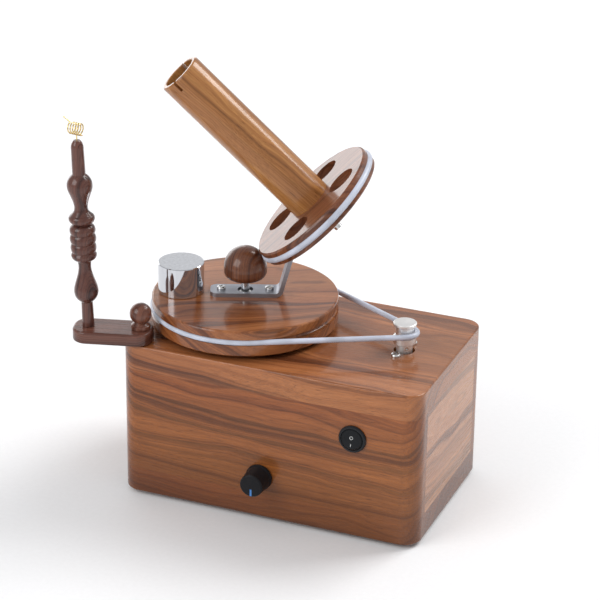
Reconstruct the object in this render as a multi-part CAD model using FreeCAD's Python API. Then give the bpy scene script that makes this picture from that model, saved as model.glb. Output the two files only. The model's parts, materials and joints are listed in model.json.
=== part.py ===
import FreeCAD, Part
import math
import os

# Electric yarn ball winder: a hardwood box with a belt-driven turntable, a leaning bobbin that rolls
# on a fixed dome, a counterweight, and a guide arm with a turned post and a wire eyelet.
# Millimetres, +Z up. X runs along the box, with the drive pulley at +X. The front, with the switch, is -Y.

os.makedirs("parts", exist_ok=True)
V = FreeCAD.Vector
UP = V(0, 0, 1)
PI = math.pi

# ---- driving dimensions -------------------------------------------------------------------------
fit = 0.05                      # radial clearance of parts that fit inside each other
gap = 0.3                       # clearance between bodies that pass each other

box_length = 229.0
box_depth = 140.0
box_height = 117.5
box_corner = 13.3
board = 19.0                    # thickness of the boards
edge_ease = 1.2
foot_height = 3.0
foot_radius = 8.0
foot_inset = 22.0

disc_x, disc_y = -46.2, 0.5     # turntable axis, from the middle of the box
disc_radius = 68.0
disc_thick = 19.5
disc_gap = 3.2                  # air between the box and the turntable
belt_radius = 2.0
belt_height = 14.0              # belt above the top of the box
groove_pitch = 67.2             # belt centre line on the turntable

pulley_x = 77.5
pulley_waist = 6.5
pulley_flange = 8.4
pulley_collar = 5.85
motor_radius = 18.0
motor_length = 57.0
motor_shaft = 1.6
motor_screw_circle = 12.5
motor_screw_turn = -99.0        # direction of the first motor screw, degrees

shaft_radius = 3.0              # M6 centre shaft and bobbin axle
race_outer = 9.5                # 626 ball bearings: 6 x 19 x 6
race_width = 6.0
ball_radius = 1.7
ball_circle = 6.25
ball_count = 7

bobbin_turn = 22.0              # direction of the bracket about the turntable axis, degrees
bobbin_lean = 45.5              # bobbin axis above the horizontal, degrees
bobbin_reach = 46.3             # flange centre from the turntable axis
bobbin_rise = 96.2              # flange's top face centre above the top of the box
flange_radius = 52.5
flange_thick = 12.0
flange_hole = 11.2
flange_hole_circle = 33.0
flange_hole_turn = 64.5         # first hole, degrees about the bobbin axis from its highest side
tyre_radius = 2.5
tyre_circle = 51.5
tyre_depth = 6.5
tube_length = 133.0
tube_radius = 16.1
tube_bore = 12.5
slot_width = 2.0
slot_depth = 8.0
slot_turn = -13.0

dome_radius = 15.75
dome_neck = 12.3                # dome's flat underside above the turntable
dome_middle = 20.8              # centre of the dome's round top above the turntable

weight_radius = 16.8
weight_height = 23.0
weight_reach = 46.9
weight_turn = 198.0

strap = 3.0                     # bracket strip
strap_width = 17.0
strap_back = -25.5
strap_bend = 25.3
strap_rise = 75.0
strap_drop = 19.0               # strip's middle below the flange's top face

arm_pivot_x, arm_pivot_y = -101.9, -59.5
arm_turn = 195.8
arm_reach = 38.1
arm_width = 27.0
arm_thick = 9.0
arm_corner = 11.0
arm_tail = 8.7
arm_tip = 11.0
arm_washer = 0.5
post_lean = 2.0

switch_x, switch_z = 65.9, 77.3      # from the middle of the box and from its underside
knob_x, knob_z = -4.5, 32.4
inlet_x, inlet_z = 62.0, 34.0

# ---- levels --------------------------------------------------------------------------------------
box_top = foot_height + box_height
under_top = box_top - board
floor_top = foot_height + board
disc_low = box_top + disc_gap
disc_top = disc_low + disc_thick
belt_z = box_top + belt_height
front = -box_depth / 2
back = box_depth / 2
nodes = {}


# ---- shape helpers -------------------------------------------------------------------------------
def rod(radius, length, base, axis=UP):
    return Part.makeCylinder(radius, length, base, axis)


def ring(outer, inner, length, base, axis=UP):
    """A tube; the bore is cut a little long so that both ends open cleanly."""
    start = base - axis * 1.0
    return rod(outer, length, base, axis).cut(rod(inner, length + 2.0, start, axis))


def joined(shapes):
    """One solid from pieces that touch or overlap."""
    return shapes[0].multiFuse(shapes[1:]).removeSplitter()


def turned(outline):
    """Revolve a closed outline of edges, or of (radius, height) corners, about Z."""
    if isinstance(outline[0], tuple):
        corners = [V(r, 0, z) for r, z in outline]
        outline = [Part.LineSegment(a, b).toShape() for a, b in zip(corners, corners[1:] + corners[:1])]
    face = Part.Face(Part.Wire(Part.__sortEdges__(outline)))
    return face.revolve(V(0, 0, 0), UP, 360)


def arc(a, b, c):
    """Edge through three (radius, height) points."""
    return Part.Arc(*[V(r, 0, z) for r, z in (a, b, c)]).toShape()


def line(a, b):
    return Part.LineSegment(V(a[0], 0, a[1]), V(b[0], 0, b[1])).toShape()


def smooth(points):
    """Edge: one smooth curve through (radius, height) points."""
    curve = Part.BSplineCurve()
    curve.interpolate([V(r, 0, z) for r, z in points])
    return curve.toShape()


def rounded_slab(length, depth, corner, height, base=V(0, 0, 0)):
    """A slab with rounded vertical corners, centred on base and standing on it."""
    block = Part.makeBox(length, depth, height, base - V(length / 2, depth / 2, 0))
    upright = [e for e in block.Edges if abs(e.tangentAt(e.FirstParameter).z) > 0.9]
    return block.makeFillet(corner, upright)


def eased(shape, radius, level):
    """Round the edges that lie flat at one level."""
    flat = [e for e in shape.Edges
            if abs(e.BoundBox.ZMin - level) < 0.01 and abs(e.BoundBox.ZMax - level) < 0.01]
    return shape.makeFillet(radius, flat)


def hex_prism(across, height, base, axis=UP):
    """A hexagonal prism, across flats."""
    corner = across / math.sqrt(3)
    turn = FreeCAD.Rotation(UP, axis)
    points = [base + turn.multVec(V(corner * math.cos(k * PI / 3), corner * math.sin(k * PI / 3), 0))
              for k in range(7)]
    return Part.Face(Part.makePolygon(points)).extrude(axis * height)


def nut(across, bore, height, base, axis=UP):
    """A hexagon nut whose corners are turned off at both faces."""
    body = hex_prism(across, height, base, axis)
    crown = across / math.sqrt(3)
    rise = crown - across / 2 * 0.97
    barrel = turned([(0, 0), (crown - rise, 0), (crown, rise), (crown, height - rise),
                     (crown - rise, height), (0, height)])
    barrel.Placement = FreeCAD.Placement(base, FreeCAD.Rotation(UP, axis))
    return body.common(barrel).cut(rod(bore, height + 2, base - axis, axis))


def pan_screw(head_radius, head_height, shank_radius, length, seat, axis=UP):
    """A pan-head cross-recess screw; seat is under the head and axis points out of the head."""
    top = head_height
    edge = head_radius
    outline = [line((0, 0), (edge, 0)), line((edge, 0), (edge, top * 0.35)),
               arc((edge, top * 0.35), (edge * 0.89, top * 0.83), (edge * 0.62, top)),
               line((edge * 0.62, top), (0, top)), line((0, top), (0, 0))]
    head = turned(outline)
    cross, slit, depth = edge * 1.15, edge * 0.26, top * 0.6
    for size in ((cross, slit), (slit, cross)):
        head = head.cut(Part.makeBox(size[0], size[1], depth, V(-size[0] / 2, -size[1] / 2, top - depth)))
    screw = head.fuse(rod(shank_radius, length, V(0, 0, -length))).removeSplitter()
    screw.Placement = FreeCAD.Placement(seat, FreeCAD.Rotation(UP, axis))
    return screw


def ball_bearing(base, axis=UP):
    """A bearing as (inner race, outer race, balls), each race grooved for the balls."""
    middle = race_width / 2
    track = Part.makeTorus(ball_circle, ball_radius + 0.1, V(0, 0, middle))
    inner = ring(ball_circle - 1.25, shaft_radius + fit, race_width, V(0, 0, 0)).cut(track)
    outer = ring(race_outer, ball_circle + 1.25, race_width, V(0, 0, 0)).cut(track)
    balls = []
    for k in range(ball_count):
        turn = 2 * PI * k / ball_count
        centre = V(ball_circle * math.cos(turn), ball_circle * math.sin(turn), middle)
        balls.append(Part.makeSphere(ball_radius, centre))
    place = FreeCAD.Placement(base, FreeCAD.Rotation(UP, axis))
    shapes = [inner, outer, Part.Compound(balls)]
    for shape in shapes:
        shape.Placement = place
    return shapes


def keep(name, shape):
    nodes[name] = shape


# ---- the box -------------------------------------------------------------------------------------
def box_boards():
    """Two flat boards with the front, back and end boards standing between them."""
    whole = rounded_slab(box_length, box_depth, box_corner, box_height, V(0, 0, foot_height))
    middle = box_height - 2 * board
    inner_depth = box_depth - 2 * board

    def piece(length, depth, height, corner):
        return whole.common(Part.makeBox(length, depth, height, corner))

    left = -box_length / 2
    boards = {
        "bottom_board": piece(box_length, box_depth, board, V(left, front, foot_height)),
        "top_board": piece(box_length, box_depth, board, V(left, front, under_top)),
        "front_board": piece(box_length, board, middle, V(left, front, floor_top)),
        "back_board": piece(box_length, board, middle, V(left, back - board, floor_top)),
        "left_end_board": piece(board, inner_depth, middle, V(left, front + board, floor_top)),
        "right_end_board": piece(board, inner_depth, middle, V(-left - board, front + board, floor_top)),
    }
    boards["top_board"] = eased(boards["top_board"], edge_ease, box_top)
    boards["bottom_board"] = eased(boards["bottom_board"], edge_ease, foot_height)
    return boards


def motor_screw_places():
    turn = math.radians(motor_screw_turn)
    reach = V(motor_screw_circle * math.cos(turn), motor_screw_circle * math.sin(turn), 0)
    axis_place = V(pulley_x, disc_y, box_top)
    return [axis_place + reach, axis_place - reach]


pulley_hole = 7.7
insert_radius = 4.0
insert_depth = 14.0
screw_hole = 1.6
pot_pocket = 11.0
pot_panel = 5.0
switch_pocket = 13.0
switch_panel = 4.0
switch_barrel = 8.7 + 0.9
inlet_pocket = 9.0
inlet_panel = 4.0
inlet_thread = 4.0
INTO = V(0, 1, 0)

boards = box_boards()

top_cuts = [rod(shaft_radius + fit, board + 2, V(disc_x, disc_y, under_top - 1)),
            rod(pulley_hole, board + 2, V(pulley_x, disc_y, under_top - 1)),
            rod(insert_radius + fit, insert_depth, V(arm_pivot_x, arm_pivot_y, box_top - insert_depth))]
top_cuts += [rod(screw_hole, board + 2, V(p.x, p.y, under_top - 1)) for p in motor_screw_places()]
boards["top_board"] = boards["top_board"].cut(Part.Compound(top_cuts))

switch_place = V(switch_x, front, foot_height + switch_z)
knob_place = V(knob_x, front, foot_height + knob_z)
inlet_place = V(inlet_x, back, foot_height + inlet_z)
front_cuts = [rod(3.5 + fit, board + 2, knob_place - INTO, INTO),
              rod(pot_pocket, board, knob_place + INTO * pot_panel, INTO),
              rod(switch_barrel + fit, board + 2, switch_place - INTO, INTO),
              rod(switch_pocket, board, switch_place + INTO * switch_panel, INTO)]
boards["front_board"] = boards["front_board"].cut(Part.Compound(front_cuts))
back_cuts = [rod(inlet_thread + fit, board + 2, inlet_place + INTO, -INTO),
             rod(inlet_pocket, board, inlet_place - INTO * inlet_panel, -INTO)]
boards["back_board"] = boards["back_board"].cut(Part.Compound(back_cuts))

# Wood screws come up through the bottom board, with their heads sunk flush.
bottom_screw_radius = 1.9
bottom_screw_head = 3.9
bottom_screw_length = 35.0
countersink = bottom_screw_head - bottom_screw_radius
edge_line = board / 2
screw_spots = [V(x, y, foot_height) for x in (-87.0, -29.0, 29.0, 87.0)
               for y in (front + edge_line, back - edge_line)]


def flush_screw(spot, spare):
    """A countersunk screw, or with spare the hole that takes it."""
    head = Part.makeCone(bottom_screw_head + spare, bottom_screw_radius + spare, countersink, spot)
    return head.fuse(rod(bottom_screw_radius + spare, bottom_screw_length + spare, spot)).removeSplitter()


screw_holes = Part.Compound([flush_screw(spot, fit) for spot in screw_spots])
slots = [Part.makeBox(5.2, 0.9, 1.0, spot - V(2.6, 0.45, 0)) for spot in screw_spots]
for name in ("bottom_board", "front_board", "back_board"):
    boards[name] = boards[name].cut(screw_holes)
keep("bottom_screws", Part.Compound([flush_screw(s, 0).cut(slot) for s, slot in zip(screw_spots, slots)]))

foot_spots = [V(sx * (box_length / 2 - foot_inset), sy * (box_depth / 2 - foot_inset), 0)
              for sx in (-1, 1) for sy in (-1, 1)]
small_screw_length = 12.0
small_screw_head = 3.0
small_screw_tall = 1.5
foot_seat = 1.2
feet = []
foot_screws = []
for spot in foot_spots:
    foot = turned([(0, 0), (foot_radius - 1.0, 0), (foot_radius, 1.0), (foot_radius, foot_height),
                   (0, foot_height)])
    foot = foot.cut(rod(small_screw_head + 0.6, foot_height, V(0, 0, -foot_seat)))
    foot = foot.cut(rod(1.5 + fit, foot_height + 2, V(0, 0, -1)))
    foot.translate(spot)
    feet.append(foot)
    seat = spot + UP * (foot_height - foot_seat)
    foot_screws.append(pan_screw(small_screw_head, small_screw_tall, 1.5, small_screw_length, seat, -UP))
keep("rubber_feet", Part.Compound(feet))
foot_holes = [rod(1.5 + fit, small_screw_length, V(s.x, s.y, foot_height - 0.5)) for s in foot_spots]
boards["bottom_board"] = boards["bottom_board"].cut(Part.Compound(foot_holes))


# ---- switch, speed control and power inlet ------------------------------------------------------
def round_switch():
    """Housing with a rimmed bezel and a ball-sided pocket, its rocker on a cross pin, and two tabs."""
    pivot = switch_place + INTO * 2.5
    bezel = turned([(0, 0), (10.25, 0), (10.25, 1.0), (9.6, 2.0), (0, 2.0)])
    bezel.Placement = FreeCAD.Placement(switch_place, FreeCAD.Rotation(UP, -INTO))
    housing = joined([bezel, rod(switch_barrel, 11.0, switch_place, INTO),
                      Part.makeBox(12.0, 10.0, 12.0, switch_place + V(-6.0, 10.0, -6.0))])
    rocker_ball = 9.2
    pocket = Part.makeSphere(rocker_ball + gap, pivot)
    pin_length = 17.0
    pin_place = pivot - V(pin_length / 2, 0, 0)
    across = V(1, 0, 0)
    housing = housing.cut(pocket).cut(rod(1.0 + fit, pin_length + 1.9, pin_place - across * 0.95, across))

    rocker = Part.makeSphere(rocker_ball, pivot)
    rocker = rocker.common(Part.makeBox(30, 14, 30, pivot + V(-15, -6.6, -15)))
    rocker = rocker.cut(rod(30.0, 30, pivot + V(-15, -35.6, 0), across))
    rocker = rocker.cut(Part.makeBox(30, 12, 30, pivot + V(-15, 3.6, -15)))
    rocker = rocker.fuse(rod(1.0, pin_length, pin_place, across)).removeSplitter()
    rocker.rotate(pivot, across, rocker_tilt)
    tabs = [Part.makeBox(0.8, 8.0, 4.8, switch_place + V(x, 20.0, -2.4)) for x in (-4.0, 3.2)]
    return housing, rocker, Part.Compound(tabs)


rocker_tilt = -9.0             # the rocker rests with its upper half pressed in
housing, rocker, tabs = round_switch()
keep("switch_housing", housing)
keep("switch_rocker", rocker)
keep("switch_tabs", tabs)

pot_shaft = 3.0
pot_can = rod(8.2, 8.0, knob_place + INTO * pot_panel, INTO)
bushing = rod(3.5, pot_panel + 4.5, knob_place - INTO * 4.5, INTO)
pot_body = joined([pot_can, bushing]).cut(rod(pot_shaft + fit, 12.0, knob_place - INTO * 5.5, INTO))
keep("speed_control_body", pot_body)
keep("speed_control_shaft", rod(pot_shaft, 17.0, knob_place + INTO * 5.5, -INTO))

knob_skirt = 9.95
knob_cap = 8.55
knob_tall = 15.6
knob_base = 0.8
pointer_width = 1.4
pointer_long = 5.2
knob = turned([
    (0, 0), (knob_skirt, 0), (knob_skirt, 1.4), (knob_cap + 0.75, 3.0), (knob_cap, knob_tall - 0.8),
    (knob_cap - 0.8, knob_tall), (0, knob_tall)])
knob = knob.cut(rod(7.0, 5.5, V(0, 0, -1.0))).cut(rod(pot_shaft + fit, 11.8, V(0, 0, -1.0)))
pointer_corner = V(-pointer_width / 2, knob_cap - 0.8 - pointer_long, 0)
pointer = Part.makeBox(pointer_width, pointer_long, 1.0, pointer_corner)
pointer.translate(V(0, 0, knob_tall - 1.0))
knob = knob.cut(pointer)
knob_turn = FreeCAD.Rotation(V(-1, 0, 0), V(0, 0, -1), V(0, -1, 0), "ZXY")
knob_frame = FreeCAD.Placement(knob_place - INTO * knob_base, knob_turn)
for shape in (knob, pointer):
    shape.Placement = knob_frame.multiply(shape.Placement)
keep("speed_knob", knob)
keep("knob_pointer", pointer)

inlet = joined([rod(6.0, 2.0, inlet_place, INTO), rod(inlet_thread, 13.0, inlet_place, -INTO)])
inlet = inlet.cut(rod(3.2, 11.0, inlet_place + INTO * 3.0, -INTO))
inlet = inlet.fuse(rod(1.0, 9.0, inlet_place - INTO * 8.5, INTO)).removeSplitter()
keep("power_inlet", inlet)
keep("panel_nuts", Part.Compound([
    nut(10.0, 3.5 + fit, 2.0, knob_place, -INTO),
    nut(11.0, inlet_thread + fit, 2.5, inlet_place - INTO * inlet_panel, -INTO)]))

# The speed controller sits on four posts on the bottom board.
control_x, control_y = -20.0, 12.0
board_size = (62.0, 40.0, 1.6)
post_tall = 8.0
card_z = floor_top + post_tall
card_spots = [V(control_x + sx * 27.0, control_y + sy * 16.0, floor_top)
              for sx in (-1, 1) for sy in (-1, 1)]
card = Part.makeBox(*board_size, V(control_x - board_size[0] / 2, control_y - board_size[1] / 2, card_z))
card = card.cut(Part.Compound([rod(1.6, 4, s + UP * (post_tall - 1)) for s in card_spots]))
keep("controller_board", card)
keep("controller_posts", Part.Compound([ring(3.0, 1.6, post_tall, s) for s in card_spots]))
card_screws = [pan_screw(small_screw_head, small_screw_tall, 1.5, small_screw_length,
                         V(s.x, s.y, card_z + board_size[2])) for s in card_spots]
keep("small_screws", Part.Compound(foot_screws + card_screws))
screw_bores = [rod(1.5 + fit, 5.0, s - UP * 4.0) for s in card_spots]
boards["bottom_board"] = boards["bottom_board"].cut(Part.Compound(screw_bores))
card_top = card_z + board_size[2]
fin_base = V(control_x - 8.0, control_y + 4.0, card_top)
fins = [Part.makeBox(2.0, 12.0, 16.0, fin_base + V(4.0 * k, 0, 0)) for k in range(5)]
keep("heat_sink", joined([Part.makeBox(18.0, 12.0, 3.0, fin_base)] + fins))
terminal_base = V(control_x - 29.0, control_y - 9.0, card_top)
card_parts = [rod(5.0, 14.0, V(control_x + 17.0, control_y + y, card_top)) for y in (-8.0, 6.0)]
card_parts.append(Part.makeBox(8.0, 20.0, 10.0, terminal_base))
keep("controller_parts", Part.Compound(card_parts))

for name, shape in boards.items():
    keep(name, shape)


# ---- motor and pulley ----------------------------------------------------------------------------
def drive_motor():
    """A canned motor hung under the top board, with its pulley coming up through the hole."""
    face = V(pulley_x, disc_y, under_top)
    wall = 1.5
    can = rod(motor_radius, motor_length, face - UP * motor_length)
    can = can.cut(rod(motor_radius - wall, motor_length, face - UP * (motor_length + 2 * wall)))
    can = can.cut(rod(motor_shaft + fit, 20, face - UP * 10))
    can = can.cut(Part.Compound([rod(1.5 + fit, 10, V(p.x, p.y, under_top - 5))
                                 for p in motor_screw_places()]))
    low = face - UP * motor_length
    cap = ring(motor_radius - wall - fit, motor_shaft + fit, 6.0, low)
    shaft = rod(motor_shaft, motor_length + 21.0, low + UP * 1.0)
    core = ring(11.0, motor_shaft + fit, 34.0, low + UP * 12.0)
    magnets = ring(motor_radius - wall - fit, 12.0, 34.0, low + UP * 12.0)
    length = board + 2.4
    screws = [pan_screw(3.5, 2.4, 1.5, length, V(p.x, p.y, box_top)) for p in motor_screw_places()]
    return can, cap, shaft, core, magnets, Part.Compound(screws)


can, cap, motor_shaft_shape, core, magnets, motor_screws = drive_motor()
keep("motor_can", can)
keep("motor_end_cap", cap)
keep("motor_shaft", motor_shaft_shape)
keep("motor_core", core)
keep("motor_magnets", magnets)
keep("motor_screws", motor_screws)

# Heights on the pulley are above the top of the box.
pulley = turned([
    (0, -14.0), (pulley_collar, -14.0), (pulley_collar, 6.1), (pulley_flange - 0.5, 6.1),
    (pulley_flange, 6.6), (pulley_flange, 11.0), (pulley_flange - 0.6, 11.6), (pulley_waist, 12.6),
    (pulley_waist, 19.0), (pulley_flange - 0.3, 19.6), (pulley_flange, 20.2), (pulley_flange, 21.6),
    (pulley_flange - 0.4, 22.0), (0, 22.0)])
pulley = pulley.cut(rod(motor_shaft + fit, 20.0, V(0, 0, -15.0)))
pulley = pulley.cut(rod(1.5 + fit, 10.0, V(0, 0, 3.0), V(0.6, -0.8, 0)))
pulley.translate(V(pulley_x, disc_y, box_top))
keep("drive_pulley", pulley)
grub = rod(1.5, pulley_collar - motor_shaft - 0.4, V(0, 0, 0), UP)
grub = grub.cut(hex_prism(1.5, 2.0, V(0, 0, pulley_collar - motor_shaft - 1.6)))
grub_axis = V(0.6, -0.8, 0)
grub.Placement = FreeCAD.Placement(V(pulley_x, disc_y, box_top + 3.0) + grub_axis * (motor_shaft + 0.1),
                                   FreeCAD.Rotation(UP, grub_axis))
keep("pulley_grub_screw", grub)


def drive_belt():
    """A round belt in a loop: two arcs about the axes, joined by the two outer tangents."""
    wheel = V(disc_x, disc_y, belt_z)
    drive = V(pulley_x, disc_y, belt_z)
    pitch = pulley_waist + belt_radius + gap
    span = drive.x - wheel.x
    lean = math.acos((groove_pitch - pitch) / span)
    tops = [wheel + V(groove_pitch * math.cos(lean), groove_pitch * math.sin(lean), 0),
            drive + V(pitch * math.cos(lean), pitch * math.sin(lean), 0)]
    along = tops[1] - tops[0]
    strand = rod(belt_radius, along.Length, tops[0], along.normalize())
    other = strand.mirror(wheel, V(0, 1, 0))

    def bend(centre, radius, start, sweep):
        spot = centre + V(radius * math.cos(start), radius * math.sin(start), 0)
        tangent = V(-math.sin(start), math.cos(start), 0)
        section = Part.Face(Part.Wire(Part.makeCircle(belt_radius, spot, tangent)))
        return section.revolve(centre, UP, math.degrees(sweep))

    round_wheel = bend(wheel, groove_pitch, lean, 2 * (PI - lean))
    round_drive = bend(drive, pitch, -lean, 2 * lean)
    return joined([round_wheel, strand, round_drive, other])


keep("drive_belt", drive_belt())


# ---- centre shaft and dome -----------------------------------------------------------------------
axis_foot = V(disc_x, disc_y, 0)
under_washer = 1.6
under_nut = 5.0
hub_nut = 5.0
hub_nut_across = 9.0
sleeve = 4.0
races_top = disc_low + 2 * race_width
dome_low = disc_top + dome_neck
dome_bore = 14.0
shaft_low = under_top - under_washer - under_nut - 3.0

keep("centre_shaft", rod(shaft_radius, dome_low + dome_bore - shaft_low - 0.3, axis_foot + UP * shaft_low))
keep("shaft_spacers", Part.Compound([
    ring(4.6, shaft_radius + fit, disc_gap, axis_foot + UP * box_top),
    ring(4.6, shaft_radius + fit, sleeve, axis_foot + UP * races_top),
    ring(9.0, shaft_radius + fit, under_washer, axis_foot + UP * (under_top - under_washer))]))
keep("shaft_nuts", Part.Compound([
    nut(hub_nut_across, shaft_radius + fit, hub_nut, axis_foot + UP * (races_top + sleeve)),
    nut(10.0, shaft_radius + fit, under_nut, axis_foot + UP * (under_top - under_washer - under_nut))]))

dome_foot = 11.0
dome_side = dome_middle - dome_neck
dome = turned([
    line((0, 0), (dome_foot, 0)),
    arc((dome_foot, 0), (dome_foot + 3.5, 2.2), (dome_radius, dome_side * 0.62)),
    line((dome_radius, dome_side * 0.62), (dome_radius, dome_side)),
    arc((dome_radius, dome_side), (dome_radius * math.sqrt(0.5), dome_side + dome_radius * math.sqrt(0.5)),
        (0, dome_side + dome_radius)),
    line((0, dome_side + dome_radius), (0, 0))])
dome = dome.cut(rod(shaft_radius + fit, dome_bore + 1, V(0, 0, -1)))
dome.translate(axis_foot + UP * dome_low)
keep("centre_dome", dome)


# ---- turntable -----------------------------------------------------------------------------------
def along_bracket(reach, height=0.0):
    """A point at a distance from the turntable axis, in the bracket's direction."""
    turn = math.radians(bobbin_turn)
    return axis_foot + V(reach * math.cos(turn), reach * math.sin(turn), height)


bracket_screw_spots = [along_bracket(-17.5, disc_top + strap), along_bracket(17.5, disc_top + strap)]
weight_turn_rad = math.radians(weight_turn)
weight_spot = axis_foot + V(math.cos(weight_turn_rad), math.sin(weight_turn_rad), 0) * weight_reach

disc = turned([
    (0, 0), (disc_radius - 1.0, 0), (disc_radius, 1.0), (disc_radius, disc_thick - 1.3),
    (disc_radius - 0.4, disc_thick - 0.4), (disc_radius - 1.3, disc_thick), (0, disc_thick)])
disc = disc.cut(Part.makeTorus(groove_pitch, belt_radius + gap, V(0, 0, belt_height - disc_gap)))
disc = disc.cut(rod(race_outer + fit, 2 * race_width + 1, V(0, 0, -1)))
disc = disc.cut(rod(5.8, disc_thick + 2, V(0, 0, -1)))
disc.translate(axis_foot + UP * disc_low)
disc_cuts = [rod(1.75 + fit, 14, s - UP * 14) for s in bracket_screw_spots]
disc_cuts += [rod(2.5 + fit, 40, weight_spot + UP * (disc_low - 1)),
              rod(5.2, 6.0, weight_spot + UP * (disc_low - 1))]
disc = disc.cut(Part.Compound(disc_cuts))
keep("turntable", disc)

weight = turned([
    (0, 0), (weight_radius - 0.5, 0), (weight_radius, 0.5), (weight_radius, weight_height - 0.5),
    (weight_radius - 0.5, weight_height), (0, weight_height)])
weight = weight.cut(rod(2.5 + fit, 15, V(0, 0, -1)))
weight.translate(weight_spot + UP * disc_top)
keep("counterweight", weight)
weight_seat = weight_spot + UP * (disc_low + 5.0)
keep("counterweight_screw", pan_screw(4.7, 3.6, 2.5, 27.0, weight_seat, -UP))

lower_bearings = [ball_bearing(axis_foot + UP * (disc_low + k * race_width)) for k in range(2)]
for index, name in enumerate(("turntable_inner_races", "turntable_outer_races", "turntable_balls")):
    keep(name, Part.Compound([s for b in lower_bearings for s in
                              (b[index].Solids)]))

# ---- the leaning bobbin: a frame whose Z is the bobbin axis ---------------------------------------
turn_rad = math.radians(bobbin_turn)
lean_rad = math.radians(bobbin_lean)
outward = V(math.cos(turn_rad), math.sin(turn_rad), 0)
bobbin_axis = UP * math.sin(lean_rad) - outward * math.cos(lean_rad)
disc_up = outward * math.sin(lean_rad) + UP * math.cos(lean_rad)
bobbin_centre = along_bracket(bobbin_reach, box_top + bobbin_rise)
bobbin_frame = FreeCAD.Placement(
    bobbin_centre, FreeCAD.Rotation(disc_up, bobbin_axis.cross(disc_up), bobbin_axis, "ZXY"))


def lean(shape):
    """Carry a shape from the bobbin's own frame to its place."""
    shape.Placement = bobbin_frame.multiply(shape.Placement)
    return shape


def bracket():
    """A flat strip bent up from the turntable, then bent back to lie along the flange."""
    half = strap / 2
    level = disc_top + half
    rise = math.radians(strap_rise)
    # Where the rising leg meets the leg that lies along the flange, in (reach, height).
    drop = strap_drop
    mount = (bobbin_reach + drop * math.cos(lean_rad),
             bobbin_centre.z - drop * math.sin(lean_rad))
    tip_run = 9.5
    lay = (math.sin(lean_rad), math.cos(lean_rad))
    climb = (math.cos(rise), math.sin(rise))
    det = climb[0] * lay[1] - climb[1] * lay[0]
    dx, dz = mount[0] - strap_bend, mount[1] - level
    climb_run = (dx * lay[1] - dz * lay[0]) / det
    elbow = (strap_bend + climb[0] * climb_run, level + climb[1] * climb_run)
    tip = (mount[0] + lay[0] * tip_run, mount[1] + lay[1] * tip_run)
    middle = [(strap_back, level), (strap_bend, level), elbow, tip]

    def offset(side):
        """The strip's face line: the middle line moved sideways by half the thickness."""
        rows = []
        for k, (x, z) in enumerate(middle):
            steps = []
            if k > 0:
                steps.append((x - middle[k - 1][0], z - middle[k - 1][1]))
            if k < len(middle) - 1:
                steps.append((middle[k + 1][0] - x, middle[k + 1][1] - z))
            normals = []
            for sx, sz in steps:
                size = math.hypot(sx, sz)
                normals.append((-sz / size, sx / size))
            nx = sum(n[0] for n in normals) / len(normals)
            nz = sum(n[1] for n in normals) / len(normals)
            size = nx * nx + nz * nz
            rows.append((x + side * half * nx / size, z + side * half * nz / size))
        return rows

    loop = offset(1) + offset(-1)[::-1]
    points = [along_bracket(x, z) for x, z in loop]
    aside = V(-outward.y, outward.x, 0)
    strip = Part.Face(Part.makePolygon(points + points[:1])).extrude(aside * strap_width)
    strip.translate(aside * (-strap_width / 2))

    def corner_edges(spots):
        return [e for e in strip.Edges if e.Length > strap_width - 0.1 and
                any((e.CenterOfMass - along_bracket(x, z)).Length < 0.1 for x, z in spots)]

    strip = strip.makeFillet(3.0, corner_edges([offset(1)[1], offset(-1)[2]]))
    strip = strip.makeFillet(6.0, corner_edges([offset(-1)[1], offset(1)[2]]))

    # Rounded ends.
    def end_edges(x, z):
        return [e for e in strip.Edges if abs(e.Length - strap) < 0.01 and
                abs((e.CenterOfMass - along_bracket(x, z)).Length - strap_width / 2) < 0.05]

    strip = strip.makeFillet(5.5, end_edges(*middle[0]))
    strip = strip.makeFillet(8.0, end_edges(*middle[3]))
    cuts = [rod(5.7, 10, axis_foot + UP * (disc_top - 2))]
    cuts += [rod(2.0, 10, s - UP * 6) for s in bracket_screw_spots]
    cuts.append(lean(rod(shaft_radius + fit, 10, V(0, 0, -drop - 5))))
    return strip.cut(Part.Compound(cuts))


keep("bobbin_bracket", bracket())
keep("bracket_screws", Part.Compound([pan_screw(3.2, 2.3, 1.75, 13.0, s) for s in bracket_screw_spots]))

# Stations along the bobbin axis, counted from the flange's top face.
strap_face = -strap_drop + strap / 2
strap_foot = -strap_drop - strap / 2
hub_top = 16.0
nut_tall = 5.0
keep("bobbin_axle", lean(rod(shaft_radius, 29.5 + hub_top + 6.5, V(0, 0, -29.5))))
keep("axle_nuts", Part.Compound([
    lean(nut(10.0, shaft_radius + fit, nut_tall, V(0, 0, strap_foot - 1.0 - nut_tall))),
    lean(nut(10.0, shaft_radius + fit, -flange_thick - 0.5 - strap_face, V(0, 0, strap_face))),
    lean(nut(10.0, shaft_radius + fit, nut_tall, V(0, 0, hub_top + 0.5)))]))
keep("axle_washers", Part.Compound([
    lean(ring(6.0, shaft_radius + fit, 1.0, V(0, 0, strap_foot - 1.0))),
    lean(ring(4.6, shaft_radius + fit, 0.5, V(0, 0, -flange_thick - 0.5))),
    lean(ring(4.6, shaft_radius + fit, hub_top - race_width + flange_thick - race_width,
              V(0, 0, -flange_thick + race_width))),
    lean(ring(4.6, shaft_radius + fit, 0.5, V(0, 0, hub_top)))]))

upper_bearings = [ball_bearing(V(0, 0, -flange_thick)), ball_bearing(V(0, 0, hub_top - race_width))]
for index, name in enumerate(("bobbin_inner_races", "bobbin_outer_races", "bobbin_balls")):
    keep(name, Part.Compound([lean(s) for b in upper_bearings for s in b[index].Solids]))

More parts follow.
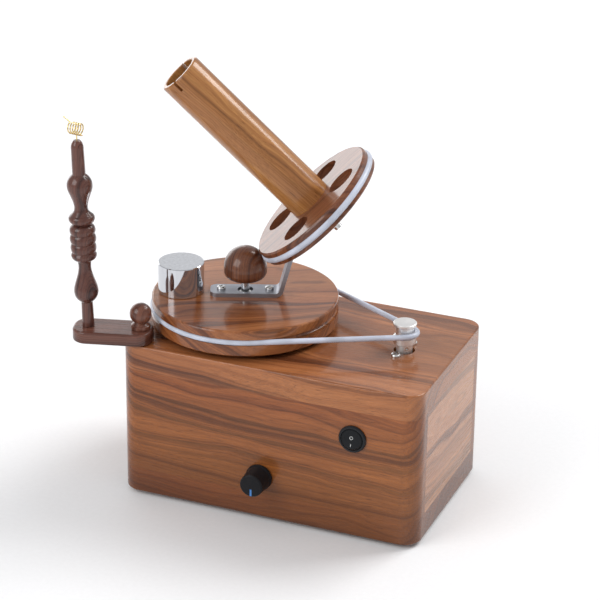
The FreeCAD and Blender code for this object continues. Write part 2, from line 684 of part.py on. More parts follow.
flange = turned([
    (0, -flange_thick), (flange_radius - 0.8, -flange_thick), (flange_radius, -flange_thick + 0.8),
    (flange_radius, -1.2), (flange_radius - 1.2, 0), (0, 0)])
flange = flange.cut(Part.makeTorus(tyre_circle, tyre_radius + fit, V(0, 0, -tyre_depth)))
flange = flange.cut(rod(race_outer + fit, race_width + 1, V(0, 0, -flange_thick - 1)))
flange = flange.cut(rod(6.0, flange_thick + 2, V(0, 0, -flange_thick - 1)))
hole_spots = []
for k in range(4):
    turn = math.radians(flange_hole_turn) + k * PI / 2
    hole_spots.append(V(flange_hole_circle * math.cos(turn), flange_hole_circle * math.sin(turn), 0))
flange_cuts = [rod(flange_hole, flange_thick + 2, s - UP * (flange_thick + 1)) for s in hole_spots]
keep("bobbin_flange", lean(flange.cut(Part.Compound(flange_cuts))))
keep("friction_tyre", lean(Part.makeTorus(tyre_circle, tyre_radius, V(0, 0, -tyre_depth))))

tube = turned([
    (tube_bore, 0), (tube_radius, 0), (tube_radius, tube_length - 1.0), (tube_radius - 1.0, tube_length),
    (tube_bore + 0.6, tube_length), (tube_bore, tube_length - 0.6)])
saw_cut = Part.makeBox(slot_width, 3 * tube_radius, slot_depth + 1,
                       V(-slot_width / 2, -1.5 * tube_radius, tube_length - slot_depth))
saw_cut.rotate(V(0, 0, 0), UP, slot_turn)
tube = tube.cut(saw_cut)
keep("bobbin_tube", lean(tube))
hub = ring(tube_bore - fit, 6.0, hub_top, V(0, 0, 0))
hub = hub.cut(rod(race_outer + fit, race_width + 1, V(0, 0, hub_top - race_width)))
keep("bobbin_hub", lean(hub))

# ---- yarn guide arm ------------------------------------------------------------------------------
arm_low = box_top + arm_washer
arm_high = arm_low + arm_thick
arm_rad = math.radians(arm_turn)
arm_out = V(math.cos(arm_rad), math.sin(arm_rad), 0)
pivot = V(arm_pivot_x, arm_pivot_y, 0)
arm_frame = FreeCAD.Placement(pivot, FreeCAD.Rotation(V(1, 0, 0), arm_out))

arm_length = arm_tail + arm_reach + arm_tip
arm = rounded_slab(arm_length, arm_width, arm_corner, arm_thick, V(arm_length / 2 - arm_tail, 0, arm_low))
arm = eased(arm, 1.6, arm_high)
arm = eased(arm, 1.0, arm_low)

# The post leans outwards a little, and its tenon is glued into the arm.
tenon = 3.0
tenon_deep = 7.0
shank = 4.4
post = turned([
    line((0, -tenon_deep), (tenon, -tenon_deep)),
    line((tenon, -tenon_deep), (tenon, 0.2)),
    line((tenon, 0.2), (shank, 0.2)),
    line((shank, 0.2), (4.1, 18.8)),
    line((4.1, 18.8), (5.4, 20.2)),
    smooth([(5.4, 20.2), (7.9, 23.4), (8.7, 27.8), (7.8, 32.4), (5.7, 39.0), (4.5, 45.2), (4.9, 50.0)]),
    line((4.9, 50.0), (5.6, 51.4)),
    arc((5.6, 51.4), (8.4, 53.0), (9.1, 55.6)),
    line((9.1, 55.6), (8.2, 57.4)),
    arc((8.2, 57.4), (9.2, 60.8), (8.2, 64.2)),
    arc((8.2, 64.2), (9.4, 67.7), (8.2, 71.2)),
    arc((8.2, 71.2), (9.2, 74.6), (7.4, 77.9)),
    line((7.4, 77.9), (6.0, 78.6)),
    line((6.0, 78.6), (7.2, 79.8)),
    arc((7.2, 79.8), (9.3, 82.7), (7.4, 86.0)),
    line((7.4, 86.0), (5.5, 88.2)),
    smooth([(5.5, 88.2), (4.8, 91.0), (5.2, 94.6), (7.0, 100.2), (8.7, 104.8), (9.1, 108.4), (8.1, 112.2),
            (6.6, 114.4), (4.7, 116.2)]),
    line((4.7, 116.2), (4.5, 135.0)),
    arc((4.5, 135.0), (3.9, 139.0), (2.4, 141.4)),
    line((2.4, 141.4), (0, 141.4)),
    line((0, 141.4), (0, -tenon_deep))])
wire_radius = 0.5
wire_deep = 10.0
post_top = 141.4
post = post.cut(rod(wire_radius + fit, wire_deep + 1, V(0, 0, post_top - wire_deep)))
post_place = FreeCAD.Placement(V(arm_reach, 0, arm_high), FreeCAD.Rotation(V(0, 1, 0), post_lean))
tenon_hole = rod(tenon + fit, tenon_deep + 2.2, V(0, 0, -tenon_deep - 0.1))
tenon_hole.Placement = post_place
arm = arm.cut(tenon_hole).cut(rod(2.6, arm_thick + 2, V(0, 0, arm_low - 1)))


def eyelet():
    """Wire from the post's top: a short stem, a loose level coil, and a tail that points up."""
    coil = 4.0
    turns = 4.5
    pitch = 2.1
    coil_heading = math.radians(-26.0)
    level_run = V(math.cos(coil_heading), math.sin(coil_heading), 0)
    level_side = V(-level_run.y, level_run.x, 0)
    middle = V(0, 0, post_top + 8.6)
    per_turn = 20
    count = int(turns * per_turn)
    points = [V(0, 0, post_top - wire_deep + 0.2), V(0, 0, middle.z - coil - 0.6)]
    start = -PI / 2
    for k in range(count + 1):
        turn = start + 2 * PI * turns * k / count
        run = pitch * turns * (k / count - 0.5)
        ring_place = level_side * (coil * math.cos(turn)) + UP * (coil * math.sin(turn))
        points.append(middle + level_run * run + ring_place)
    points.append(points[-1] + V(4.6, 0.4, 4.4))
    path = Part.makePolygon(points)
    section = Part.Wire(Part.makeCircle(wire_radius, points[0], UP))
    pipe = Part.BRepOffsetAPI.MakePipeShell(path)
    pipe.setTransitionMode(1)
    pipe.add(section)
    pipe.build()
    pipe.makeSolid()
    return pipe.shape()


wire = eyelet()
for shape in (post, wire):
    shape.Placement = post_place

# The thumb screw that holds the arm: a turned ball on a collar, with its stud in a brass insert.
ball = 7.9
collar = 7.0
collar_high = 3.6
neck = 4.6
ball_centre = 11.6
ball_foot = math.sqrt(ball * ball - neck * neck)
thumb = turned([
    line((0, 0), (collar - 0.4, 0)), line((collar - 0.4, 0), (collar, 0.4)),
    line((collar, 0.4), (collar, collar_high - 0.6)),
    line((collar, collar_high - 0.6), (collar - 0.8, collar_high)),
    line((collar - 0.8, collar_high), (neck, ball_centre - ball_foot)),
    arc((neck, ball_centre - ball_foot), (ball, ball_centre), (0, ball_centre + ball)),
    line((0, ball_centre + ball), (0, 0))])
stud_low = -(arm_thick + arm_washer + 11.0)
stud = rod(2.5, -stud_low + 8.0, V(0, 0, stud_low))
thumb = thumb.cut(rod(2.5 + fit, 8.0 + fit, V(0, 0, 0)))
for shape in (arm, post, wire):
    shape.Placement = arm_frame.multiply(shape.Placement)
for shape in (thumb, stud):
    shape.translate(pivot + UP * arm_high)
keep("guide_arm", arm)
keep("guide_post", post)
keep("yarn_eyelet", wire)
keep("thumb_knob", thumb)
keep("thumb_stud", stud)
insert_foot = pivot + UP * (box_top - insert_depth)
keep("arm_insert", ring(insert_radius, 2.5 + fit, insert_depth - 0.5, insert_foot))
keep("arm_washer", ring(8.0, 2.6, arm_washer, pivot + UP * box_top))

# ---- write every part about the middle of the whole object, on the floor --------------------------
whole = Part.Compound(list(nodes.values()))
box = whole.optimalBoundingBox(False, False)
shift = V(-(box.XMin + box.XMax) / 2, -(box.YMin + box.YMax) / 2, 0)
for name, shape in nodes.items():
    placed = shape.copy()
    placed.translate(shift)
    placed.exportStep("parts/" + name + ".step")
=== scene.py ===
import json
import math

import bpy
import numpy as np
from mathutils import Matrix, Vector


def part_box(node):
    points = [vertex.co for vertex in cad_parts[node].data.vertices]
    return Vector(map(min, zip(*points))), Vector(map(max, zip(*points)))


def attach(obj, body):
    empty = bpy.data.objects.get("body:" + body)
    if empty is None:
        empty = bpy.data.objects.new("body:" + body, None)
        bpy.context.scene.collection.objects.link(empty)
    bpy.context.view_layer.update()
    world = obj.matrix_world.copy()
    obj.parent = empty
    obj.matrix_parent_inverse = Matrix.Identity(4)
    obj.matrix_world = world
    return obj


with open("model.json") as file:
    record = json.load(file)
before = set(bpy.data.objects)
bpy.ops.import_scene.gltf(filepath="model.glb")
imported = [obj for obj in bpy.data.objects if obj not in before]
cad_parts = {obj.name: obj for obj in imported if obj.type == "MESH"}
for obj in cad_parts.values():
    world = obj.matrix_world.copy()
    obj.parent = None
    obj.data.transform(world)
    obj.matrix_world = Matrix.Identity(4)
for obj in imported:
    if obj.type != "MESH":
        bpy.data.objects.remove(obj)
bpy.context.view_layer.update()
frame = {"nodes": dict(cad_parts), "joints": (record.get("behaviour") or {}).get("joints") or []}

nodes = frame["nodes"]
hinge = {joint["name"]: joint for joint in frame["joints"]}

# ---- the box ---------------------------------------------------------------------------------------
# Six 19 mm boards of Indian rosewood, glued up with the top and bottom running over the ends, the
# upright corners rounded, then sanded and sprayed with clear lacquer. The front is one board with
# dark wavy streaks.
quarter_turn = math.pi / 2

# The wood's noises, in lumps per metre across the grain, and their size along it as a share of that.
bend_scale, patch_scale, slow_share = 17.0, 11.0, 0.30
fibre_scale, pore_scale, thin_share = 900.0, 1900.0, 0.035
ring_taper = 0.07
# Painted shade at a board's foot, for the dimmer light low down: the height up to which it is full, and
# where it has gone.
shade_full_to, shade_gone_from = 0.006, 0.058


def step(tree, kind, sockets, out=0, **settings):
    """Adds one node to a finish and gives back an output. A socket takes a value or an output."""
    node = tree.nodes.new("ShaderNode" + kind)
    for key, value in settings.items():
        setattr(node, key, value)
    for key, value in sockets.items():
        if isinstance(value, bpy.types.NodeSocket):
            tree.links.new(value, node.inputs[key])
        else:
            node.inputs[key].default_value = value
    return node.outputs[out]


def new_finish(name):
    """A fresh material, with its node tree, its shader and the place that its patterns read."""
    material = bpy.data.materials.new(name)
    material.use_nodes = True
    tree = material.node_tree
    return material, tree, tree.nodes["Principled BSDF"], step(tree, "TexCoord", {}, out="Object")


def noise(tree, where, scale, detail=2.0, rough=0.5, out=0):
    """Soft noise of a place in space."""
    sockets = {"Vector": where, "Scale": scale, "Detail": detail, "Roughness": rough}
    return step(tree, "TexNoise", sockets, out)


def ring_noise(tree, distance, scale, detail, rough):
    """Soft noise of one distance, the same all round it."""
    sockets = {"W": distance, "Scale": scale, "Detail": detail, "Roughness": rough}
    return step(tree, "TexNoise", sockets, noise_dimensions="1D")


def remap(tree, value, start, stop, first, last):
    """First where a value is at start, last where it is at stop, even between and held beyond."""
    return step(tree, "MapRange", {0: value, 1: start, 2: stop, 3: first, 4: last})


def scaled(tone, share):
    """A tone made darker or paler, but no paler than white."""
    return tuple(min(1.0, share * part) for part in tone)


def tone_steps(tree, factor, tones):
    """A colour ramp from (place, tone) pairs."""
    output = step(tree, "ValToRGB", {0: factor})
    ramp = output.node.color_ramp
    while len(ramp.elements) < len(tones):
        ramp.elements.new(0.5)
    for element, (place, tone) in zip(ramp.elements, tones):
        element.position = place
        element.color = (*tone, 1.0)
    return output


def mixed(tree, amount, first, second, blend="MIX"):
    """One colour laid over another. The second is a tone or an output."""
    if not isinstance(second, bpy.types.NodeSocket):
        second = (*second, 1.0)
    return step(tree, "Mix", {0: amount, 6: first, 7: second}, out=2, data_type="RGBA", blend_type=blend)


def finish_off(tree, shader, colour, roughness, relief, strength, depth, **values):
    """Joins colour, roughness and relief to a shader, and sets its sockets by name, with _ for a space."""
    bump = step(tree, "Bump", {"Strength": strength, "Distance": depth, "Height": relief})
    for key, output in {"Base Color": colour, "Roughness": roughness, "Normal": bump}.items():
        tree.links.new(output, shader.inputs[key])
    for key, value in values.items():
        shader.inputs[key.replace("_", " ")].default_value = value


def dress(material, *names):
    """Puts one finish on frame nodes."""
    for name in names:
        nodes[name].data.materials[0] = material


def rosewood(name, turn, heart, tones, rings=170.0, wander=0.03, streak=0.55, thin_lines=0.5, gloss=0.26,
             foot_shade=0.0):
    """Lacquered rosewood. The grain runs along the X of a frame at heart, turned by turn. A point's
    distance from that line, bent by slow noise that is long along the grain, picks a growth ring; noise
    of that distance gives rings of uneven width, slower noise of it gives the dark streaks, and finer
    noise the thin dark lines. Thin long noise makes the fibres, and thinner noise cut off high makes the
    pores. End grain is darker, and the last argument lays painted shade over a board's foot."""
    dark, middle, light, gold = tones
    material, tree, shader, where = new_finish(name)
    grain = step(tree, "Mapping", {"Vector": where, "Location": heart, "Rotation": turn},
                 vector_type="TEXTURE")
    slow = step(tree, "Mapping", {"Vector": grain, "Scale": (slow_share, 1.0, 1.0)})
    bend = noise(tree, slow, bend_scale, 3.0, 0.45, out="Color")
    centred = step(tree, "VectorMath", {0: bend, 1: (0.5, 0.5, 0.5)}, operation="SUBTRACT")
    swing = step(tree, "VectorMath", {0: centred, "Scale": wander}, operation="SCALE")
    moved = step(tree, "VectorMath", {0: grain, 1: swing}, operation="ADD")
    across = step(tree, "VectorMath", {0: moved, 1: (ring_taper, 1.0, 1.0)}, operation="MULTIPLY")
    ring = step(tree, "VectorMath", {0: across}, out="Value", operation="LENGTH")

    bands = ring_noise(tree, ring, rings, 4.0, 0.62)
    wood = tone_steps(tree, bands, [(0.30, dark), (0.43, middle), (0.58, light), (0.76, middle)])
    patch = noise(tree, slow, patch_scale, 1.0)
    wood = mixed(tree, remap(tree, patch, 0.40, 0.68, 0.0, 0.5), wood, gold)
    broad = ring_noise(tree, ring, rings * 0.42, 2.0, 0.5)
    wood = mixed(tree, remap(tree, broad, 0.30, 0.47, streak, 0.0), wood, dark)
    fine = ring_noise(tree, ring, rings * 2.6, 2.0, 0.7)
    wood = mixed(tree, remap(tree, fine, 0.58, 0.70, 0.0, thin_lines), wood, dark)

    thin = step(tree, "Mapping", {"Vector": moved, "Scale": (thin_share, 1.0, 1.0)})
    fibre = noise(tree, thin, fibre_scale, 3.0, 0.6)
    fibre_tone = tone_steps(tree, fibre, [(0.30, (0.80, 0.78, 0.76)), (0.70, (1.13, 1.13, 1.12))])
    wood = mixed(tree, 1.0, wood, fibre_tone, "MULTIPLY")
    pores = remap(tree, noise(tree, thin, pore_scale, 1.0), 0.64, 0.72, 0.0, 0.55)
    wood = mixed(tree, pores, wood, dark)

    facing = step(tree, "TexCoord", {}, out="Normal")
    turned = Matrix.Rotation(turn[2], 3, "Z") @ Matrix.Rotation(turn[1], 3, "Y")
    along = step(tree, "VectorMath", {0: facing, 1: turned @ Vector((1.0, 0.0, 0.0))}, out="Value",
                 operation="DOT_PRODUCT")
    end_on = step(tree, "Math", {0: along, 1: along}, operation="MULTIPLY")
    wood = mixed(tree, remap(tree, end_on, 0.2, 1.0, 0.0, 0.35), wood, scaled(middle, 0.6))
    # Painted shade: the board is darkened towards its foot, standing in for the light falling off there.
    if foot_shade:
        height = step(tree, "SeparateXYZ", {"Vector": moved}, out="Z")
        painted_shade_share = remap(tree, height, shade_full_to - heart[2], shade_gone_from - heart[2], foot_shade, 0.0)
        wood = mixed(tree, painted_shade_share, wood, scaled(middle, 0.35))

    sheen = remap(tree, fibre, 0.3, 0.7, gloss + 0.07, gloss - 0.03)
    dents = step(tree, "Math", {0: pores, 1: -0.8}, operation="MULTIPLY")
    relief = step(tree, "Math", {0: dents, 1: fibre}, operation="ADD")
    finish_off(tree, shader, wood, sheen, relief, 0.05, 0.0003, IOR=1.45, Specular_IOR_Level=0.35,
               Coat_Weight=0.35, Coat_Roughness=0.07, Coat_IOR=1.5)
    return material


box_tones = ((0.060, 0.015, 0.005), (0.205, 0.056, 0.015), (0.320, 0.098, 0.027), (0.370, 0.138, 0.034))
end_tones = ((0.150, 0.055, 0.025), (0.380, 0.160, 0.075), (0.500, 0.240, 0.125), (0.540, 0.290, 0.145))
# The top board's tones are paler than the other boards' partly as painted light, for the stronger light
# that falls on the top.
top_tones_lit = ((0.100, 0.030, 0.012), (0.300, 0.100, 0.034), (0.420, 0.155, 0.056), (0.480, 0.200, 0.070))
# The front and bottom boards carry painted shade at their feet, set by their last argument.
dress(rosewood("front_board_rosewood", turn=(0.0, 0.035, 0.02), heart=(0.02, -0.115, 0.135),
               tones=box_tones, streak=0.65, thin_lines=0.4, foot_shade=0.65), "front_board")
dress(rosewood("back_board_rosewood", turn=(0.0, -0.03, 0.0), heart=(-0.04, 0.150, 0.01),
               tones=box_tones), "back_board")
dress(rosewood("top_board_rosewood", turn=(0.0, 0.0, 0.05), heart=(0.0, 0.01, 0.02), tones=top_tones_lit,
               rings=130.0, streak=0.45), "top_board")
dress(rosewood("bottom_board_rosewood", turn=(0.0, 0.02, -0.03), heart=(0.05, 0.03, -0.06),
               tones=box_tones, foot_shade=0.6), "bottom_board")
dress(rosewood("end_board_rosewood", turn=(0.0, 0.0, quarter_turn), heart=(0.03, 0.0, 0.09),
               tones=end_tones, rings=120.0, streak=0.3), "left_end_board", "right_end_board")

# ---- feet and screws -------------------------------------------------------------------------------
# Four moulded rubber feet, each held by a small screw, and eight countersunk wood screws that pull the
# bottom board up to the front and back. The screws are bright zinc-plated steel.


def moulded(name, tone, rough, speck=900.0, depth=0.00008, **shine):
    """Moulded rubber or plastic: fine even noise roughens the skin, and slow noise varies its tone a
    little. Speck is in grains per metre and depth in metres."""
    material, tree, shader, where = new_finish(name)
    skin = noise(tree, where, speck, 3.0, 0.6)
    cloud = noise(tree, where, 45.0)
    colour = tone_steps(tree, cloud, [(0.35, scaled(tone, 0.82)), (0.65, scaled(tone, 1.16))])
    dull = remap(tree, skin, 0.3, 0.7, rough - 0.06, rough + 0.08)
    finish_off(tree, shader, colour, dull, skin, 0.25, depth, **shine)
    return material


def worked_metal(name, tone, rough, cut=(1.0, 1.0, 1.0), fine=1400.0, score=0.12, turn=(0.0, 0.0, 0.0)):
    """Bare metal. Noise stretched by cut, in a frame turned by turn, is the run of the tool marks; slow
    noise is handling and haze."""
    material, tree, shader, where = new_finish(name)
    cut_frame = step(tree, "Mapping", {"Vector": where, "Rotation": turn}, vector_type="TEXTURE")
    along_cut = step(tree, "Mapping", {"Vector": cut_frame, "Scale": cut})
    marks = noise(tree, along_cut, fine, 3.0, 0.6)
    haze = noise(tree, where, 70.0, 3.0)
    colour = tone_steps(tree, marks, [(0.30, scaled(tone, 0.90)), (0.70, scaled(tone, 1.06))])
    dull = remap(tree, haze, 0.3, 0.7, rough * 0.8, rough * 1.3)
    finish_off(tree, shader, colour, dull, marks, score, 0.00006, Metallic=1.0)
    return material


zinc = worked_metal("zinc_plate", (0.72, 0.72, 0.71), 0.22, fine=500.0)
dress(zinc, "bottom_screws", "small_screws")
dress(moulded("foot_rubber", (0.022, 0.022, 0.023), 0.62), "rubber_feet")

# ---- switch ----------------------------------------------------------------------------------------
# A round snap-in rocker switch of black nylon, with a smooth bezel and a finely textured rocker. Its
# on and off marks are pad-printed in white. Two brass tabs stick out behind.
black_nylon = moulded("switch_nylon", (0.016, 0.017, 0.020), 0.36, speck=1500.0, Specular_IOR_Level=0.2)
rocker_nylon = moulded("rocker_nylon", (0.011, 0.012, 0.014), 0.42, speck=2200.0, depth=0.00012,
                       Specular_IOR_Level=0.15)
dress(black_nylon, "switch_housing", "power_inlet", "controller_parts", "motor_end_cap")
dress(rocker_nylon, "switch_rocker")
brass = worked_metal("bright_brass", (0.83, 0.66, 0.33), 0.20, fine=700.0)
dress(brass, "switch_tabs", "arm_insert", "controller_posts")

mark_paint = moulded("mark_paint", (0.80, 0.80, 0.78), 0.5)
paint_thick, paint_gap = 0.00006, 0.00002
mark_half_tall = 0.0012
rocker_pin = np.array(hinge["rocker_tilt"]["pos_m"])
ray_room = 0.05


def on_rocker(up):
    """The rocker's outer face, and the way it faces, at a height from its pin, by a ray from in front."""
    start = Vector((rocker_pin[0], rocker_pin[1] - ray_room, rocker_pin[2] + up))
    _, place, normal, _ = nodes["switch_rocker"].ray_cast(start, Vector((0.0, 1.0, 0.0)))
    return np.array(place) + paint_gap * np.array(normal), np.array(normal)


def band_faces(rows, columns):
    """Four-cornered faces of a grid of points that closes on itself both ways, facing out."""
    a, b = np.meshgrid(np.arange(rows), np.arange(columns), indexing="ij")
    c, d = (a + 1) % rows, (b + 1) % columns
    return np.stack([a * columns + d, c * columns + d, c * columns + b, a * columns + b], -1).reshape(-1, 4)


def printed_mark(name, centre_up, half_wide, line, count):
    """A flat printed loop on the rocker: an oval band of a half width and a line width, with as many
    points round it as count."""
    place, normal = on_rocker(centre_up)
    upward = np.cross(normal, [1.0, 0.0, 0.0])
    upward *= np.sign(upward[2])
    angle = np.linspace(0, 2 * math.pi, count, endpoint=False)
    rings = []
    for inset, lift in ((line, 0.0), (line, paint_thick), (0.0, paint_thick), (0.0, 0.0)):
        wide = np.outer((half_wide - inset) * np.cos(angle), [1.0, 0.0, 0.0])
        tall = np.outer((mark_half_tall - inset) * np.sin(angle), upward)
        rings.append(place + (wide + tall) + lift * normal)
    faces = band_faces(count, len(rings))
    mesh = bpy.data.meshes.new(name)
    mesh.from_pydata(np.stack(rings, 1).reshape(-1, 3), [], faces.tolist())
    mesh.polygons.foreach_set("use_smooth", np.full(len(faces), True))
    mesh.materials.append(mark_paint)
    mesh.update()
    mark = bpy.data.objects.new(name, mesh)
    bpy.context.scene.collection.objects.link(mark)
    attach(mark, "rocker")


printed_mark("off_mark", centre_up=0.0018, half_wide=0.00130, line=0.00028, count=48)
printed_mark("on_mark", centre_up=-0.0034, half_wide=0.00020, line=0.00016, count=24)

# ---- speed control ---------------------------------------------------------------------------------
# A fluted black knob pushed onto the round shaft of a rotary speed control, with a blue pointer set
# into its rim. The control's can and its nut are plated steel.
knob_black = moulded("knob_plastic", (0.012, 0.012, 0.014), 0.40, speck=1300.0, Specular_IOR_Level=0.15)
dress(knob_black, "speed_knob")
dress(moulded("pointer_blue", (0.055, 0.20, 0.50), 0.35), "knob_pointer")
dress(zinc, "speed_control_body", "speed_control_shaft", "panel_nuts")

# ---- controller ------------------------------------------------------------------------------------
# A green glass-fibre card on four brass posts inside the box, with two capacitors, a terminal block
# and a sawn aluminium heat sink.
dress(moulded("card_green", (0.02, 0.17, 0.07), 0.35, speck=600.0), "controller_board")
dress(worked_metal("sawn_aluminium", (0.76, 0.77, 0.78), 0.32, cut=(1.0, 0.06, 1.0)), "heat_sink")

# ---- motor -----------------------------------------------------------------------------------------
# A small canned direct-current motor hangs under the top board on two screws. Its can is drawn and
# plated steel, its magnets are dull ferrite, and its core is wound with enamelled wire.
dress(zinc, "motor_can", "motor_screws", "pulley_grub_screw")
dress(moulded("ferrite", (0.035, 0.034, 0.036), 0.6), "motor_magnets")
dress(worked_metal("wound_copper", (0.60, 0.26, 0.13), 0.3, cut=(1.0, 1.0, 0.05)), "motor_core")
dress(worked_metal("ground_steel", (0.70, 0.70, 0.70), 0.14, cut=(0.05, 0.05, 1.0)), "motor_shaft")

# ---- drive pulley and belt -------------------------------------------------------------------------
# The pulley is turned from bar, with the lathe's fine rings left on it. The belt and the bobbin's tyre
# are smooth, waxy white polyurethane cord, welded end to end, and light passes a little way into it.
dress(worked_metal("turned_metal", (0.85, 0.84, 0.83), 0.45, cut=(0.02, 0.02, 1.0), fine=2600.0,
                   score=0.35), "drive_pulley")
white_cord = moulded("white_polyurethane", (0.54, 0.57, 0.66), 0.34, speck=260.0, depth=0.00004,
                     Subsurface_Weight=0.25, Subsurface_Radius=(0.0012, 0.0012, 0.0014),
                     Subsurface_Scale=1.0)
dress(white_cord, "drive_belt", "friction_tyre")

# ---- centre shaft and dome -------------------------------------------------------------------------
# A steel stud stands fixed in the top board and carries two ball bearings and, at its top, the still
# wooden dome that the bobbin's tyre rolls on. The dome is turned and lacquered.
dress(zinc, "centre_shaft", "shaft_spacers", "shaft_nuts")
race_steel = worked_metal("race_steel", (0.78, 0.78, 0.78), 0.10, fine=900.0, score=0.04)
dress(race_steel, "turntable_inner_races", "turntable_outer_races", "turntable_balls",
      "bobbin_inner_races", "bobbin_outer_races", "bobbin_balls")
upright = (0.0, -quarter_turn, 0.0)


def beside(name, across, back):
    """A heart line at floor height beside the middle of a frame node."""
    low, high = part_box(name)
    middle = (low + high) / 2
    return (middle.x + across, middle.y + back, 0.0)


dome_tones = ((0.043, 0.013, 0.007), (0.128, 0.040, 0.018), (0.192, 0.070, 0.031), (0.220, 0.085, 0.036))
dress(rosewood("dome_rosewood", turn=upright, heart=beside("centre_dome", 0.03, -0.01), tones=dome_tones,
               rings=330.0, wander=0.012, gloss=0.28), "centre_dome")

# ---- turntable and counterweight -------------------------------------------------------------------
# A rosewood disc turned from one board, its grooved rim driven by the belt. Opposite the bobbin a
# turned and mirror-polished steel weight is screwed up from below, to keep it in balance.
disc_tones = ((0.090, 0.025, 0.010), (0.265, 0.084, 0.028), (0.370, 0.135, 0.047), (0.430, 0.180, 0.060))
dress(rosewood("turntable_rosewood", turn=(0.0, 0.0, 0.62), heart=(-0.02, 0.03, 0.07), tones=disc_tones,
               rings=150.0, streak=0.45, gloss=0.2), "turntable")
mirror_steel = worked_metal("mirror_steel", (0.64, 0.65, 0.68), 0.045, cut=(1.0, 1.0, 0.05), fine=500.0,
                            score=0.02)
dress(mirror_steel, "counterweight")
dress(zinc, "counterweight_screw", "bracket_screws")

# ---- bobbin bracket --------------------------------------------------------------------------------
# Flat steel strip, bent twice and rounded at its ends, screwed to the turntable over the shaft's nut.
# It is brushed along its length.
bobbin_axis = Vector(hinge["bobbin_spin"]["axis"])
bracket_heading = math.atan2(-bobbin_axis.y, -bobbin_axis.x)
dress(worked_metal("brushed_strip", (0.38, 0.39, 0.43), 0.42, cut=(0.05, 1.0, 1.0),
                   turn=(0.0, 0.0, bracket_heading), score=0.2), "bobbin_bracket")
dress(zinc, "bobbin_axle", "axle_nuts", "axle_washers")

# ---- bobbin ----------------------------------------------------------------------------------------
# A turned disc with four lightening holes and a tyre sprung into its rim, and a bored tube glued on.
# Two saw cuts in the tube's mouth hold the yarn's end. Both are rosewood, the tube from paler stock.
tube_heading = math.atan2(bobbin_axis.y, bobbin_axis.x)
tube_rise = math.asin(bobbin_axis.z)
tube_foot = Vector(hinge["bobbin_spin"]["pos_m"])
flange_heart = tube_foot + Vector((0.0, 0.02, 0.03))
tube_heart = tube_foot + Vector((0.0, -0.03, -0.015))
flange_tones = ((0.060, 0.018, 0.009), (0.165, 0.052, 0.023), (0.235, 0.085, 0.038), (0.270, 0.105, 0.045))
tube_tones = ((0.095, 0.028, 0.009), (0.310, 0.115, 0.036), (0.430, 0.190, 0.060), (0.470, 0.230, 0.070))
dress(rosewood("flange_rosewood", turn=(0.0, quarter_turn - tube_rise, tube_heading), heart=flange_heart,
               tones=flange_tones, rings=190.0, gloss=0.3), "bobbin_flange")
dress(rosewood("tube_rosewood", turn=(0.0, -tube_rise, tube_heading), heart=tube_heart, tones=tube_tones,
               rings=110.0, wander=0.04, streak=0.5, thin_lines=0.25, gloss=0.2), "bobbin_tube",
      "bobbin_hub")

# ---- yarn guide arm --------------------------------------------------------------------------------
# A flat rosewood arm swings on a stud under a turned thumb knob. Its turned post, of darker wood,
# holds a loosely coiled brass eyelet for the yarn.
post_tones = ((0.024, 0.009, 0.008), (0.088, 0.031, 0.024), (0.140, 0.055, 0.040), (0.165, 0.065, 0.046))
arm_tones = ((0.035, 0.012, 0.009), (0.105, 0.036, 0.024), (0.160, 0.062, 0.042), (0.180, 0.075, 0.048))
knob_tones = ((0.045, 0.015, 0.010), (0.125, 0.043, 0.026), (0.190, 0.073, 0.045), (0.210, 0.085, 0.050))
dress(rosewood("post_rosewood", turn=upright, heart=beside("guide_post", 0.02, -0.01), tones=post_tones,
               rings=330.0, wander=0.012, streak=0.7, gloss=0.25), "guide_post")
dress(rosewood("arm_rosewood", turn=(0.0, 0.0, 0.27), heart=(0.0, -0.03, 0.10), tones=arm_tones,
               rings=220.0, wander=0.014), "guide_arm")
dress(rosewood("thumb_knob_rosewood", turn=upright, heart=(-0.07, -0.06, 0.0), tones=knob_tones,
               rings=330.0, wander=0.012), "thumb_knob")
dress(brass, "yarn_eyelet")
dress(zinc, "thumb_stud")
dress(black_nylon, "arm_washer")

# ---- room ------------------------------------------------------------------------------------------
# A white paper floor, four soft boxes and pale light all round. The camera looks down on the front
# from the right and is turned a little about its own line of sight.
floor_reach = 5.0
middle_of_object = Vector((-0.02, 0.0, 0.13))
camera_aim = Vector((-0.00534, 0.06121, 0.11916))
camera_distance = 1.83895
heading, height, tilt = (math.radians(angle) for angle in (21.813, 24.236, 0.728))

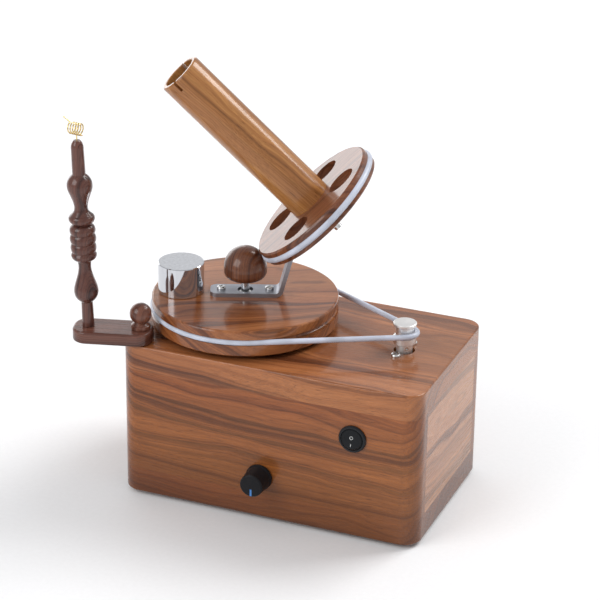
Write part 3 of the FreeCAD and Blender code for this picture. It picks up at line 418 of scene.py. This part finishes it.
floor_mesh = bpy.data.meshes.new("floor")
corners = [(x * floor_reach, y * floor_reach, 0.0) for x, y in ((-1, -1), (1, -1), (1, 1), (-1, 1))]
floor_mesh.from_pydata(corners, [], [(0, 1, 2, 3)])
floor = bpy.data.objects.new("floor", floor_mesh)
bpy.context.scene.collection.objects.link(floor)
paper, tree, shader, where = new_finish("floor_paper")
tooth = noise(tree, where, 300.0)
tree.links.new(tone_steps(tree, tooth, [(0.3, (0.86, 0.86, 0.865)), (0.7, (0.88, 0.88, 0.885))]),
               shader.inputs["Base Color"])
shader.inputs["Roughness"].default_value = 0.8
floor_mesh.materials.append(paper)

world = bpy.data.worlds.new("studio")
bpy.context.scene.world = world
world.use_nodes = True
pale_light = world.node_tree.nodes["Background"]
pale_light.inputs["Color"].default_value = (0.97, 0.98, 1.0, 1.0)
pale_light.inputs["Strength"].default_value = 0.60


def soft_box(name, direction, distance, size, power):
    """A flat lamp that looks at the object from a direction."""
    lamp = bpy.data.lights.new(name, "AREA")
    lamp.shape = "RECTANGLE"
    lamp.size, lamp.size_y = size
    lamp.energy = power
    holder = bpy.data.objects.new(name, lamp)
    bpy.context.scene.collection.objects.link(holder)
    way = Vector(direction).normalized()
    holder.location = middle_of_object + way * distance
    holder.rotation_euler = way.to_track_quat("Z", "Y").to_euler()


soft_box("back_box", direction=(0.476, 0.531, 0.70), distance=1.9, size=(0.95, 0.95), power=24.0)
soft_box("front_box", direction=(-0.55, -0.85, 0.62), distance=2.0, size=(1.2, 1.2), power=17.0)
soft_box("sheen_box", direction=(-0.45, 0.85, 0.40), distance=2.6, size=(1.8, 0.9), power=1.3)
soft_box("side_box", direction=(-0.72, 0.69, 0.12), distance=2.0, size=(1.6, 1.0), power=9.0)

level = math.cos(height)
back = Vector((math.sin(heading) * level, -math.cos(heading) * level, math.sin(height)))
right = Vector((math.cos(heading), math.sin(heading), 0.0))
up = back.cross(right)
level_right = right * math.cos(tilt) + up * math.sin(tilt)
level_up = up * math.cos(tilt) - right * math.sin(tilt)
looking = Matrix((level_right, level_up, back)).transposed().to_4x4()
lens = bpy.data.cameras.new("camera")
lens.sensor_width = 36.0
lens.lens = 147.57
lens.clip_start, lens.clip_end = 0.05, 30.0
camera = bpy.data.objects.new("camera", lens)
bpy.context.scene.collection.objects.link(camera)
camera.matrix_world = Matrix.Translation(camera_aim + camera_distance * back) @ looking
bpy.context.scene.camera = camera
bpy.context.scene.view_settings.view_transform = "Standard"
